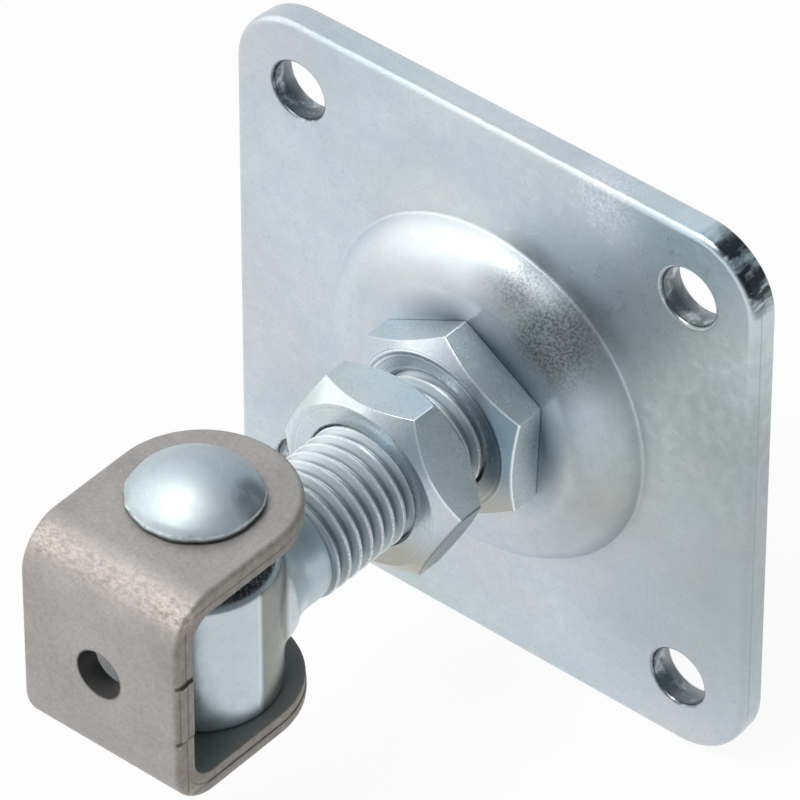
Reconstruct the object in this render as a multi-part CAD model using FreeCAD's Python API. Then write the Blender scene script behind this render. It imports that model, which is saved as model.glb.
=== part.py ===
import FreeCAD, Part
import math
import os

# Adjustable gate hinge: a wall plate with a pressed dome, an eye bolt that screws in and out of a
# captive nut, and a folded bracket that swings on a rivet through the eye.
# Millimetres. The origin is the centre of the plate's back face, +Z is up, and -Y points out of the
# wall along the stud. "Reach" is a distance from the wall, so it lies at y = -reach.

# Mounting plate
PLATE_SIDE = 100.0
SHEET_T = 5.0
PLATE_CORNER_R = 12.0
PLATE_EDGE_ROLL = 1.2
PLATE_BACK_BREAK = 0.3
SCREW_INSET = 12.5
SCREW_HOLE_D = 10.0
SCREW_RIM_ROLL = 0.5

# Pressed dome
DOME_BASE_D = 60.0
DOME_RISE = 6.2
DOME_SHOULDER_R = 9.0

# Thread of the stud and both nuts
THREAD_D = 20.0
THREAD_PITCH = 2.5
THREAD_CLEARANCE = 0.08
NUT_ACROSS_FLATS = 30.0
NUT_COUNTERSINK_D = 21.0

# Adjusting nut, captive in the dome
ADJUSTER_HEAD_H = 7.0
ADJUSTER_FACE_D = 27.2
ADJUSTER_CHAMFER_DEG = 30.0
ADJUSTER_TURN_DEG = 27.5
ADJUSTER_SPIGOT_D = 24.4
ADJUSTER_COLLAR_D = 30.0
ADJUSTER_COLLAR_T = 4.0
SPIGOT_CLEARANCE = 0.1
SEAT_CLEARANCE = 0.05

# Lock nut
LOCK_NUT_H = 10.0
LOCK_NUT_FACE_D = 27.8
LOCK_NUT_CHAMFER_DEG = 40.0
LOCK_NUT_TURN_DEG = 2.0
LOCK_NUT_STANDOFF = 6.45

# Eye bolt
PIN_REACH = 71.7
SHANK_LENGTH = 70.2
NECK_LENGTH = 19.7
NECK_D = 19.0
NECK_FLARE_R = 9.0
NECK_FLARE_LENGTH = 5.5
EYE_D = 25.5
EYE_H = 24.0
EYE_DROP = 0.5
EYE_RIM_R = 0.8

# Rivet
RIVET_D = 12.0
RIVET_HEAD_D = 20.8
RIVET_HEAD_H = 6.6
RIVET_HEAD_RIM = 1.2
RIVET_TAIL_D = 18.4
RIVET_TAIL_H = 3.8
RIVET_TAIL_RIM = 0.9
EYE_RUNNING_FIT = 0.1
BRACKET_RUNNING_FIT = 0.05

# Gate bracket, folded from flat bar
BAR_W = 30.0
BAR_T = 4.0
BAR_EDGE_R = 0.8
BEND_INNER_R = 4.0
BRACKET_INSIDE_H = 30.6
BRACKET_BACKSET = 21.6
FLANGE_END_R = 15.0
FLANGE_OVERHANG = 16.4
BRACKET_REST_GAP = 0.1
WEB_HOLE_D = 8.0
EDGE_LAND_LENGTH = 10.6
EDGE_LAND_PROUD = 0.3

# Sizes worked out from the ones above
SCREW_SPACING = PLATE_SIDE - 2 * SCREW_INSET
DOME_TOP_REACH = SHEET_T + DOME_RISE
DOME_SHOULDER_RUN = math.sqrt(DOME_SHOULDER_R ** 2 - (DOME_SHOULDER_R - DOME_RISE) ** 2)
DOME_TOP_R = DOME_BASE_D / 2 - DOME_SHOULDER_RUN
NUT_BORE_R = THREAD_D / 2 + THREAD_CLEARANCE
NUT_CORNER_R = NUT_ACROSS_FLATS / math.sqrt(3)
ADJUSTER_BACK_REACH = DOME_TOP_REACH + SEAT_CLEARANCE
ADJUSTER_FRONT_REACH = ADJUSTER_BACK_REACH + ADJUSTER_HEAD_H
COLLAR_FRONT_REACH = DOME_RISE - SEAT_CLEARANCE
COLLAR_BACK_REACH = COLLAR_FRONT_REACH - ADJUSTER_COLLAR_T
LOCK_NUT_BACK_REACH = ADJUSTER_FRONT_REACH + LOCK_NUT_STANDOFF
EYE_BOTTOM_Z = -EYE_H / 2 - EYE_DROP
EYE_TOP_Z = EYE_H / 2 - EYE_DROP
TAIL_REACH = PIN_REACH - SHANK_LENGTH
THREAD_END_REACH = PIN_REACH - NECK_LENGTH
EYE_BORE_R = RIVET_D / 2 + EYE_RUNNING_FIT
BRACKET_BORE_R = RIVET_D / 2 + BRACKET_RUNNING_FIT
BRACKET_INNER_BOTTOM_Z = EYE_BOTTOM_Z - BRACKET_REST_GAP
BRACKET_INNER_TOP_Z = BRACKET_INNER_BOTTOM_Z + BRACKET_INSIDE_H
BRACKET_BOTTOM_Z = BRACKET_INNER_BOTTOM_Z - BAR_T
BRACKET_TOP_Z = BRACKET_INNER_TOP_Z + BAR_T
BRACKET_MID_Z = (BRACKET_BOTTOM_Z + BRACKET_TOP_Z) / 2
WEB_REACH = PIN_REACH + BRACKET_BACKSET
FLANGE_END_REACH = PIN_REACH - FLANGE_OVERHANG

# How far cutting tools run past the faces they cut
OVERCUT = 1.0

OUT = FreeCAD.Vector(0, -1, 0)
UP = FreeCAD.Vector(0, 0, 1)
WIDE = FreeCAD.Vector(1, 0, 0)


def at(x, reach, z):
    """Point at a distance from the wall."""
    return FreeCAD.Vector(x, -reach, z)


def rod(radius, start_reach, end_reach, x=0.0, z=0.0):
    """Cylinder along the stud's direction between two distances from the wall."""
    return Part.makeCylinder(radius, end_reach - start_reach, at(x, start_reach, z), OUT)


def turned(points, origin, along, radial):
    """Solid of revolution of (length, radius) points; three points in a tuple are an arc."""
    def place(point):
        return origin + along * point[0] + radial * point[1]

    edges = []
    pen = points[0]
    for item in points[1:]:
        if isinstance(item[0], tuple):
            edges.append(Part.Arc(place(pen), place(item[0]), place(item[1])).toShape())
            pen = item[1]
        else:
            edges.append(Part.LineSegment(place(pen), place(item)).toShape())
            pen = item
    edges.append(Part.LineSegment(place(pen), place(points[0])).toShape())
    face = Part.Face(Part.Wire(edges))
    return face.revolve(origin, along, 360)


def stud_turned(points):
    """Solid turned about the stud's axis, with lengths as distances from the wall."""
    return turned(points, FreeCAD.Vector(0, 0, 0), OUT, UP)


def pin_turned(points):
    """Solid turned about the rivet's axis, with lengths as heights."""
    return turned(points, at(0, PIN_REACH, 0), UP, WIDE)


def rounded_square(side, corner_r, start_reach, end_reach):
    """Slab with rounded corners, parallel to the wall."""
    slab = Part.makeBox(side, end_reach - start_reach, side, at(-side / 2, end_reach, -side / 2))
    uprights = [edge for edge in slab.Edges if is_along(edge, OUT)]
    return slab.makeFillet(corner_r, uprights)


def is_along(edge, direction):
    """True for a straight edge parallel to a direction."""
    if not isinstance(edge.Curve, Part.Line):
        return False
    return abs(edge.tangentAt(edge.FirstParameter).dot(direction)) > 0.999


def edges_at_reach(shape, reach):
    """Edges that lie wholly at one distance from the wall."""
    box = [(edge, edge.BoundBox) for edge in shape.Edges]
    return [edge for edge, b in box if abs(b.YMin + reach) < 1e-4 and abs(b.YMax + reach) < 1e-4]


def arc_middle(centre, radius, start_deg, end_deg):
    """Point halfway along an arc, in the two coordinates of a profile."""
    middle = math.radians((start_deg + end_deg) / 2)
    return (centre[0] + radius * math.cos(middle), centre[1] + radius * math.sin(middle))


def dome_body():
    """Outside of the pressed dome, from inside the sheet up to its flat top."""
    centre = (DOME_TOP_REACH - DOME_SHOULDER_R, DOME_TOP_R)
    base_deg = math.degrees(math.asin(DOME_SHOULDER_RUN / DOME_SHOULDER_R))
    shoulder = (arc_middle(centre, DOME_SHOULDER_R, base_deg, 0), (DOME_TOP_REACH, DOME_TOP_R))
    root_reach = SHEET_T / 2
    outline = [(root_reach, 0), (root_reach, DOME_BASE_D / 2), (SHEET_T, DOME_BASE_D / 2), shoulder]
    outline.append((DOME_TOP_REACH, 0))
    return stud_turned(outline)


def dome_hollow():
    """Hollow behind the dome, one sheet thickness inside its outer form."""
    inner_r = DOME_SHOULDER_R - SHEET_T
    centre = (DOME_RISE - inner_r, DOME_TOP_R)
    mouth_r = DOME_TOP_R + inner_r
    shoulder = (arc_middle(centre, inner_r, 90, 0), (DOME_RISE, DOME_TOP_R))
    outline = [(-OVERCUT, 0), (-OVERCUT, mouth_r), (centre[0], mouth_r), shoulder, (DOME_RISE, 0)]
    return stud_turned(outline)


def rolled_hole(radius, roll, x, z, front_reach):
    """Cutting tool for a round hole whose front rim is rolled over."""
    origin = at(x, 0, z)
    start = (front_reach - roll, radius)
    end = (front_reach, radius + roll)
    middle = arc_middle((front_reach - roll, radius + roll), roll, 270, 360)
    outline = [(-OVERCUT, 0), (-OVERCUT, radius), start, (middle, end)]
    outline += [(front_reach + OVERCUT, radius + roll), (front_reach + OVERCUT, 0)]
    return turned(outline, origin, OUT, UP)


def mounting_plate():
    """Square plate with a pressed dome, four screw holes and the adjusting nut's seat."""
    plate = rounded_square(PLATE_SIDE, PLATE_CORNER_R, 0, SHEET_T)
    plate = plate.makeFillet(PLATE_EDGE_ROLL, edges_at_reach(plate, SHEET_T))
    plate = plate.makeChamfer(PLATE_BACK_BREAK, edges_at_reach(plate, 0))
    plate = plate.fuse(dome_body()).cut(dome_hollow())
    plate = plate.cut(rod(ADJUSTER_SPIGOT_D / 2 + SPIGOT_CLEARANCE, 0, DOME_TOP_REACH + OVERCUT))
    half = SCREW_SPACING / 2
    for x in (-half, half):
        for z in (-half, half):
            plate = plate.cut(rolled_hole(SCREW_HOLE_D / 2, SCREW_RIM_ROLL, x, z, SHEET_T))
    return plate.removeSplitter()


def hexagon(back_reach, front_reach, turn_deg):
    """Hexagonal bar across the nut's flats, turned about the stud."""
    corners = []
    for k in range(6):
        angle = math.radians(turn_deg + 60 * k)
        corners.append(at(NUT_CORNER_R * math.cos(angle), back_reach, NUT_CORNER_R * math.sin(angle)))
    face = Part.Face(Part.makePolygon(corners + corners[:1]))
    return face.extrude(OUT * (front_reach - back_reach))


def nut_chamfer(back_reach, front_reach, face_d, chamfer_deg, both_sides):
    """Turned envelope that takes the nut's corners down to a round face."""
    outer_r = NUT_CORNER_R + OVERCUT
    drop = (outer_r - face_d / 2) * math.tan(math.radians(chamfer_deg))
    outline = [(back_reach, 0)]
    if both_sides:
        outline += [(back_reach, face_d / 2), (back_reach + drop, outer_r)]
    else:
        outline += [(back_reach, outer_r)]
    outline += [(front_reach - drop, outer_r), (front_reach, face_d / 2), (front_reach, 0)]
    return stud_turned(outline)


def countersink(face_reach, inward):
    """Cone that opens a nut's thread at one face; inward is the way into the nut."""
    flare_r = NUT_COUNTERSINK_D / 2
    depth = flare_r - NUT_BORE_R
    outside = face_reach - inward * OVERCUT
    inside = face_reach + inward * depth
    return stud_turned([(outside, 0), (outside, flare_r), (face_reach, flare_r),
                        (inside, NUT_BORE_R), (inside, 0)])


def adjusting_nut():
    """Hexagon head on the dome, with a spigot through it and a collar that holds it from behind."""
    back, front = ADJUSTER_BACK_REACH, ADJUSTER_FRONT_REACH
    nut = hexagon(back, front, ADJUSTER_TURN_DEG)
    nut = nut.common(nut_chamfer(back, front, ADJUSTER_FACE_D, ADJUSTER_CHAMFER_DEG, False))
    nut = nut.fuse(rod(ADJUSTER_SPIGOT_D / 2, COLLAR_FRONT_REACH, back))
    nut = nut.fuse(rod(ADJUSTER_COLLAR_D / 2, COLLAR_BACK_REACH, COLLAR_FRONT_REACH))
    nut = nut.cut(rod(NUT_BORE_R, COLLAR_BACK_REACH - OVERCUT, front + OVERCUT))
    nut = nut.cut(countersink(front, -1)).cut(countersink(COLLAR_BACK_REACH, 1))
    return nut.removeSplitter()


def lock_nut():
    """Thin hexagon nut, chamfered on both faces."""
    back = LOCK_NUT_BACK_REACH
    front = back + LOCK_NUT_H
    nut = hexagon(back, front, LOCK_NUT_TURN_DEG)
    nut = nut.common(nut_chamfer(back, front, LOCK_NUT_FACE_D, LOCK_NUT_CHAMFER_DEG, True))
    nut = nut.cut(rod(NUT_BORE_R, back - OVERCUT, front + OVERCUT))
    return nut.cut(countersink(front, -1)).cut(countersink(back, 1))


def stud_and_neck():
    """Threaded stud, its smooth neck and the flare that runs into the eye."""
    thread_r, neck_r = THREAD_D / 2, NECK_D / 2
    runout = thread_r - neck_r
    flare_end = PIN_REACH - EYE_D / 2 + NECK_FLARE_LENGTH / 2
    flare_start = flare_end - NECK_FLARE_LENGTH
    sweep_deg = math.degrees(math.asin(NECK_FLARE_LENGTH / NECK_FLARE_R))
    centre = (flare_start, neck_r + NECK_FLARE_R)
    flare_middle = arc_middle(centre, NECK_FLARE_R, 270, 270 + sweep_deg)
    flare_r = centre[1] - NECK_FLARE_R * math.cos(math.radians(sweep_deg))
    outline = [(TAIL_REACH, 0), (TAIL_REACH, thread_r - THREAD_PITCH / 2)]
    outline += [(TAIL_REACH + THREAD_PITCH / 2, thread_r), (THREAD_END_REACH, thread_r)]
    outline += [(THREAD_END_REACH + runout, neck_r), (flare_start, neck_r)]
    outline += [(flare_middle, (flare_end, flare_r)), (PIN_REACH - EYE_BORE_R, flare_r)]
    outline += [(PIN_REACH - EYE_BORE_R, 0)]
    return stud_turned(outline)


def eye():
    """Upright barrel of the eye bolt, with softened rims."""
    r, soft = EYE_D / 2, EYE_RIM_R
    low = (EYE_BOTTOM_Z + soft, r - soft)
    high = (EYE_TOP_Z - soft, r - soft)
    outline = [(EYE_BOTTOM_Z, 0), (EYE_BOTTOM_Z, r - soft)]
    outline += [(arc_middle(low, soft, 180, 90), (EYE_BOTTOM_Z + soft, r))]
    outline += [(EYE_TOP_Z - soft, r)]
    outline += [(arc_middle(high, soft, 90, 0), (EYE_TOP_Z, r - soft)), (EYE_TOP_Z, 0)]
    return pin_turned(outline)


def eye_bolt():
    """Eye, neck and stud forged as one piece."""
    bolt = stud_and_neck().fuse(eye())
    bore_start = at(0, PIN_REACH, EYE_BOTTOM_Z - OVERCUT)
    bolt = bolt.cut(Part.makeCylinder(EYE_BORE_R, EYE_H + 2 * OVERCUT, bore_start, UP))
    return bolt.removeSplitter()


def fold_wire(x, offset):
    """Side view of the folded bar's outer face, drawn inward by an offset, closed at the open end."""
    radius = BEND_INNER_R + BAR_T - offset
    web = WEB_REACH - offset
    low, high = BRACKET_BOTTOM_Z + offset, BRACKET_TOP_Z - offset
    open_reach = FLANGE_END_REACH - OVERCUT
    slant = radius * (1 - math.sqrt(0.5))
    points = [at(x, open_reach, low), at(x, web - radius, low), at(x, web, low + radius),
              at(x, web, high - radius), at(x, web - radius, high), at(x, open_reach, high)]
    low_middle = at(x, web - slant, low + slant)
    high_middle = at(x, web - slant, high - slant)
    edges = [Part.LineSegment(points[0], points[1]).toShape(),
             Part.Arc(points[1], low_middle, points[2]).toShape(),
             Part.LineSegment(points[2], points[3]).toShape(),
             Part.Arc(points[3], high_middle, points[4]).toShape(),
             Part.LineSegment(points[4], points[5]).toShape(),
             Part.LineSegment(points[5], points[0]).toShape()]
    return Part.Wire(edges)


def folded_bar():
    """Flat bar with rounded edges, folded to a U."""
    half = BAR_W / 2
    outer = Part.Face(fold_wire(-half, 0)).extrude(WIDE * BAR_W)
    inner = Part.Face(fold_wire(-half, BAR_T)).extrude(WIDE * BAR_W)
    edge_loops = [edge for edge in outer.Edges if on_bar_edge(edge, half)]
    outer = outer.makeFillet(BAR_EDGE_R, edge_loops)
    return outer.cut(inner)


def on_bar_edge(edge, half):
    """True for an edge of the folded bar's two side outlines, apart from its open end."""
    b = edge.BoundBox
    at_side = abs(abs(b.XMin) - half) < 1e-4 and abs(b.XMax - b.XMin) < 1e-4
    return at_side and b.YMax - b.YMin + b.ZMax - b.ZMin > 1e-4 and b.YMin < -FLANGE_END_REACH


def flange_outline():
    """Plan of the bracket: straight sides that end in a round tip over the stud."""
    half = BAR_W / 2
    tip_centre = FLANGE_END_REACH + FLANGE_END_R
    depth = WEB_REACH + OVERCUT - tip_centre
    height = BRACKET_TOP_Z - BRACKET_BOTTOM_Z + 2 * OVERCUT
    floor_z = BRACKET_BOTTOM_Z - OVERCUT
    body = Part.makeBox(BAR_W + 2 * OVERCUT, depth, height, at(-half - OVERCUT, WEB_REACH + OVERCUT, floor_z))
    tip = Part.makeCylinder(FLANGE_END_R, height, at(0, tip_centre, floor_z), UP)
    return body.fuse(tip)


def edge_lands():
    """Proud sheared lands at half height on the web's two narrow edges."""
    depth = BAR_T - 2 * BAR_EDGE_R
    low_z = BRACKET_MID_Z - EDGE_LAND_LENGTH / 2
    lands = []
    for side in (-1, 1):
        x = side * (BAR_W / 2 + EDGE_LAND_PROUD / 2 - BAR_EDGE_R / 2)
        width = EDGE_LAND_PROUD + BAR_EDGE_R
        corner = at(x - width / 2, WEB_REACH - BAR_EDGE_R, low_z)
        lands.append(Part.makeBox(width, depth, EDGE_LAND_LENGTH, corner))
    return lands


def gate_bracket():
    """Folded bar with round flange ends, two rivet holes and a hole in its web."""
    bracket = folded_bar().common(flange_outline())
    for land in edge_lands():
        bracket = bracket.fuse(land)
    height = BRACKET_TOP_Z - BRACKET_BOTTOM_Z + 2 * OVERCUT
    bore_start = at(0, PIN_REACH, BRACKET_BOTTOM_Z - OVERCUT)
    bracket = bracket.cut(Part.makeCylinder(BRACKET_BORE_R, height, bore_start, UP))
    bracket = bracket.cut(rod(WEB_HOLE_D / 2, WEB_REACH - BAR_T - OVERCUT, WEB_REACH + OVERCUT,
                              z=BRACKET_MID_Z))
    return bracket.removeSplitter()


def dome_head(seat_z, way, diameter, height, rim):
    """Profile of a rivet head from its rim to its crown, above or below its seat."""
    r = diameter / 2
    rise = height - rim
    sphere_r = (r * r + rise * rise) / (2 * rise)
    part_r = r / 2
    part_h = rim + math.sqrt(sphere_r ** 2 - part_r ** 2) - (sphere_r - rise)
    middle = (seat_z + way * part_h, part_r)
    return (seat_z + way * rim, r), middle, (seat_z + way * height, 0)


def hinge_rivet():
    """Rivet with a domed head on the upper flange and a flatter set head under the lower one."""
    r = RIVET_D / 2
    head_seat = BRACKET_TOP_Z + SEAT_CLEARANCE
    tail_seat = BRACKET_BOTTOM_Z - SEAT_CLEARANCE
    head_rim, head_middle, crown = dome_head(head_seat, 1, RIVET_HEAD_D, RIVET_HEAD_H, RIVET_HEAD_RIM)
    tail_rim, tail_middle, tail = dome_head(tail_seat, -1, RIVET_TAIL_D, RIVET_TAIL_H, RIVET_TAIL_RIM)
    outline = [crown, (head_middle, head_rim), (head_seat, RIVET_HEAD_D / 2), (head_seat, r)]
    outline += [(tail_seat, r), (tail_seat, RIVET_TAIL_D / 2), tail_rim, (tail_middle, tail)]
    return pin_turned(outline)


PIECES = {
    "mounting_plate": mounting_plate,
    "adjusting_nut": adjusting_nut,
    "lock_nut": lock_nut,
    "eye_bolt": eye_bolt,
    "gate_bracket": gate_bracket,
    "hinge_rivet": hinge_rivet,
}

os.makedirs("parts", exist_ok=True)
for name, build in PIECES.items():
    build().exportStep("parts/" + name + ".step")
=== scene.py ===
import bmesh
import bpy
import math
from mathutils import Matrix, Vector


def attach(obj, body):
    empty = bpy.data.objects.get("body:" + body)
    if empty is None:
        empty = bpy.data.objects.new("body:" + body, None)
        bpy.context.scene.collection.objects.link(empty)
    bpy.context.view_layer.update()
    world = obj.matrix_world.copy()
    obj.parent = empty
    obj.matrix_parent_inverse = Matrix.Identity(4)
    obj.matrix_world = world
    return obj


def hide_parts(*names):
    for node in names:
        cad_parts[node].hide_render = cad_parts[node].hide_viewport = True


# Adjustable gate hinge. Sizes are in millimetres and are turned into metres where they are used.
# The wall is at y = 0, the stud points along -Y and the rivet stands along Z.

MM = 0.001
OUT = Vector((0, -1, 0))
UP = Vector((0, 0, 1))
WIDE = Vector((1, 0, 0))

# Plate and dome
PLATE_SIDE = 100.0
PLATE_SHEAR_STEP = 0.14
SHEET_T = 5.0
SHEAR_FROM = 2.1
SHEAR_RUN = 0.12
PLATE_CORNER_R = 12.0
PLATE_ROLL = 1.3
PLATE_BACK_BREAK = 0.3
SCREW_AT = 37.5
SCREW_R = 5.0
SCREW_LAND_R = 6.4
DOME_LAND_R = 32.0
DOME_TOP = 11.2
DOME_TOP_R = 21.45
DOME_SHOULDER_R = 9.0
CREASE_R = 0.6
DOME_HOLLOW = 6.2
SPIGOT_HOLE_R = 12.3

# Thread and nuts
PITCH = 2.5
STUD_ROOT_R = 8.55
STUD_CREST_R = 10.0
BORE_R = 10.08
BORE_GROOVE_R = 10.7
NUT_FLATS = 30.0
NUT_CORNER_R = NUT_FLATS / math.sqrt(3)
COUNTERSINK_R = 10.55
ADJUSTER_BACK = DOME_TOP + 0.05
ADJUSTER_FRONT = DOME_TOP + 7.05
ADJUSTER_FACE_R = 13.6
ADJUSTER_TURN = 27.5
SPIGOT_R = 12.2
COLLAR_R = 15.0
COLLAR_BACK = 2.15
COLLAR_FRONT = 6.15
COLLAR_CHAMFER = 0.4
LOCK_BACK = 24.7
LOCK_FRONT = 34.7
LOCK_FACE_R = 13.9
LOCK_TURN = 2.0

# Eye bolt
PIN = 71.7
STUD_TAIL = 1.5
THREAD_FROM = 53.4
EYE_R = 12.75
EYE_FOOT_R = 0.6
EYE_BROW_R = 1.4
EYE_LOW = -12.5
EYE_HIGH = 11.5
EYE_BORE_R = 6.1
EYE_BORE_RIM = 0.35
NECK_R = 9.5
NECK_FLARE_R = 9.0
NECK_FLARE_AT = 56.2
NECK_FLARE_LENGTH = 5.5

# Rivet
RIVET_R = 6.0
RIVET_GAP = 0.05
HEAD_R, HEAD_H, HEAD_RIM = 10.4, 6.6, 1.2
SET_HEAD_R, SET_HEAD_H, SET_HEAD_RIM = 9.2, 3.8, 0.9
HEAD_LIP = 0.35

# Gate bracket
BAR_W = 30.0
BAR_T = 4.0
BEND_MID_R = 6.0
FLANGE_LENGTH = 30.0
FLANGE_OVERHANG = 16.4
WEB_LENGTH = 22.6
WEB_REACH = 93.3
WEB_HOLE_R = 4.0
BRACKET_BORE_R = 6.05
BLANK_STEP = 0.2
EDGE_LAND = 5.3
EDGE_PROUD = 0.3
BRACKET_LOW = -16.6
BRACKET_HIGH = 22.0
BRACKET_MIDDLE = (BRACKET_LOW + BRACKET_HIGH) / 2

# Camera, fitted to the photograph
CAMERA_AZIMUTH = math.radians(40.15)
CAMERA_ELEVATION = math.radians(40.61)
CAMERA_DISTANCE = 1307.4
CAMERA_LENS = 389.2
AIM_RIGHT, AIM_ABOVE = -16.53, -4.60

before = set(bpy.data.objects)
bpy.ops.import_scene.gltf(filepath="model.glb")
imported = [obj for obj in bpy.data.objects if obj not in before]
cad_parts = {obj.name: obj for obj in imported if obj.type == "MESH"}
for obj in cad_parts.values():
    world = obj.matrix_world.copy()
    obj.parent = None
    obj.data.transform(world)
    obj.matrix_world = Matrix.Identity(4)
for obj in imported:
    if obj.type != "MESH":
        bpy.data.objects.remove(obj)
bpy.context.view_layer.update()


# Hand tools

def named(name):
    """Names the piece that was just added and lays its place into its mesh."""
    piece = bpy.context.object
    piece.name = name
    piece.data.name = name
    bpy.ops.object.transform_apply(location=True, rotation=True, scale=True)
    return piece


def take(piece):
    """Selects one piece alone."""
    bpy.ops.object.select_all(action="DESELECT")
    piece.select_set(True)
    bpy.context.view_layer.objects.active = piece


def edit(piece):
    take(piece)
    bpy.ops.object.mode_set(mode="EDIT")
    bpy.ops.mesh.select_mode(type="VERT")
    bpy.ops.mesh.select_all(action="SELECT")


def done():
    bpy.ops.object.mode_set(mode="OBJECT")


def pick(kind, test):
    """Selects the vertices, edges or faces of the piece in edit mode that pass a test."""
    bpy.ops.mesh.select_mode(type=kind)
    bpy.ops.mesh.select_all(action="DESELECT")
    mesh = bmesh.from_edit_mesh(bpy.context.object.data)
    for part in {"VERT": mesh.verts, "EDGE": mesh.edges, "FACE": mesh.faces}[kind]:
        if test(part):
            part.select_set(True)
    mesh.select_flush_mode()
    bmesh.update_edit_mesh(bpy.context.object.data)


def middle(part):
    """Middle of an edge or a face, in millimetres."""
    return sum((v.co for v in part.verts), Vector()) / len(part.verts) / MM


def worked(piece, kind, **settings):
    """Adds a modifier, sets it and applies it."""
    take(piece)
    modifier = piece.modifiers.new(kind.title(), kind)
    for key, value in settings.items():
        setattr(modifier, key, value)
    bpy.ops.object.modifier_apply(modifier=modifier.name)
    return piece


def cut(piece, tool, operation="DIFFERENCE"):
    """Cuts, joins or trims a piece with a tool, and puts the tool away."""
    worked(piece, "BOOLEAN", operation=operation, object=tool, solver="MANIFOLD")
    bpy.data.objects.remove(tool)
    return piece


def joined(piece, *others):
    """Joins loose shells to a piece, welds their rims and points the faces outwards."""
    take(piece)
    for other in others:
        other.select_set(True)
    bpy.ops.object.join()
    return welded(piece)


def welded(piece, gap=0.004):
    """Welds near points, closes the pinholes of a seam and points the faces outwards."""
    edit(piece)
    bpy.ops.mesh.remove_doubles(threshold=gap * MM)
    bpy.ops.mesh.dissolve_degenerate(threshold=gap * MM)
    bpy.ops.mesh.select_all(action="SELECT")
    bpy.ops.mesh.fill_holes(sides=6)
    bpy.ops.mesh.select_all(action="SELECT")
    bpy.ops.mesh.normals_make_consistent(inside=False)
    done()
    return piece


def copied(piece, name, shift):
    """Copy of a piece with its own mesh, moved by millimetres."""
    take(piece)
    bpy.ops.object.duplicate()
    bpy.ops.transform.translate(value=shift * MM)
    return named(name)


def pushed(shift):
    """Extrudes the selected faces by millimetres."""
    bpy.ops.mesh.extrude_region_move(TRANSFORM_OT_translate={"value": shift * MM})


def drawn(name, points):
    """Chain of edges through points in metres, left in edit mode."""
    bpy.ops.object.select_all(action="DESELECT")
    bpy.ops.mesh.primitive_plane_add(size=MM, location=points[0])
    piece = named(name)
    edit(piece)
    bpy.ops.mesh.merge(type="CENTER")
    for here, there in zip(points, points[1:]):
        bpy.ops.mesh.extrude_vertices_move(TRANSFORM_OT_translate={"value": there - here})
    return piece


def arc(centre, radius, start, end, count):
    """Points on an arc of an outline, with its angles in degrees."""
    turns = [math.radians(start + (end - start) * k / count) for k in range(count + 1)]
    return [(centre[0] + radius * math.cos(t), centre[1] + radius * math.sin(t)) for t in turns]


def turned(name, outline, axis=OUT, centre=Vector(), steps=128):
    """Piece spun about an axis from an outline of (radius, length along the axis) points."""
    points = [(centre + WIDE * r + axis * length) * MM for r, length in outline]
    piece = drawn(name, points)
    bpy.ops.mesh.select_all(action="SELECT")
    bpy.ops.mesh.spin(steps=steps, angle=math.tau, center=centre * MM, axis=axis)
    done()
    return welded(piece, 0.0005)


def drilled(name, radius, x, z, start, end, vertices=64):
    """Drill along the stud's direction between two distances from the wall."""
    bpy.ops.object.select_all(action="DESELECT")
    bpy.ops.mesh.primitive_cylinder_add(
        vertices=vertices, radius=radius * MM, depth=(end - start) * MM,
        location=Vector((x, -(start + end) / 2, z)) * MM, rotation=(math.pi / 2, 0, 0))
    return named(name)


def smoothed(piece, degrees=32.0):
    """Smooth shading that keeps flat faces flat and real corners sharp."""
    take(piece)
    bpy.ops.object.shade_smooth_by_angle(angle=math.radians(degrees))
    return worked(piece, "WEIGHTED_NORMAL", mode="FACE_AREA", weight=50, keep_sharp=True)


def seated(piece, body, node, finish):
    """Puts a finished piece in place of its plain solid."""
    piece.data.materials.clear()
    piece.data.materials.append(finish)
    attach(piece, body)
    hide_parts(node)
    return piece


# Thread

def rolled_thread(name, root_r, crest_r, start, end):
    """Rod with a rolled right-hand thread between two distances from the wall."""
    depth = crest_r - root_r
    tooth = [(root_r, 0), (root_r, 0.18), (root_r + 0.03 * depth, 0.28),
             (root_r + 0.12 * depth, 0.38), (crest_r, 1.05), (crest_r, 1.45),
             (root_r + 0.12 * depth, 2.12), (root_r + 0.03 * depth, 2.22),
             (root_r, 2.32), (root_r, PITCH)]
    first = PITCH * (math.floor(start / PITCH) - 2)
    points = [(WIDE * r + OUT * (first + length)) * MM for r, length in tooth]
    rod = drawn(name, points)
    done()
    turns = math.ceil((end - first) / PITCH) + 2
    worked(rod, "SCREW", axis="Y", angle=-math.tau, screw_offset=-PITCH * MM,
           iterations=turns, steps=96, render_steps=96)
    edit(rod)
    bpy.ops.mesh.remove_doubles(threshold=0.002 * MM)
    half_way = -(first + turns * PITCH / 2) * MM
    for way in (-1, 1):
        pick("EDGE", lambda e: e.is_boundary and way * (e.verts[0].co.y - half_way) > 0)
        bpy.ops.mesh.extrude_edges_move(TRANSFORM_OT_translate={"value": OUT * -way * PITCH * MM})
        bpy.ops.mesh.merge(type="CENTER")
    bpy.ops.mesh.select_all(action="SELECT")
    bpy.ops.mesh.normals_make_consistent(inside=False)
    done()
    return cut(rod, drilled("trim", crest_r + 1, 0, 0, start, end), "INTERSECT")


# Mounting plate

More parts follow.
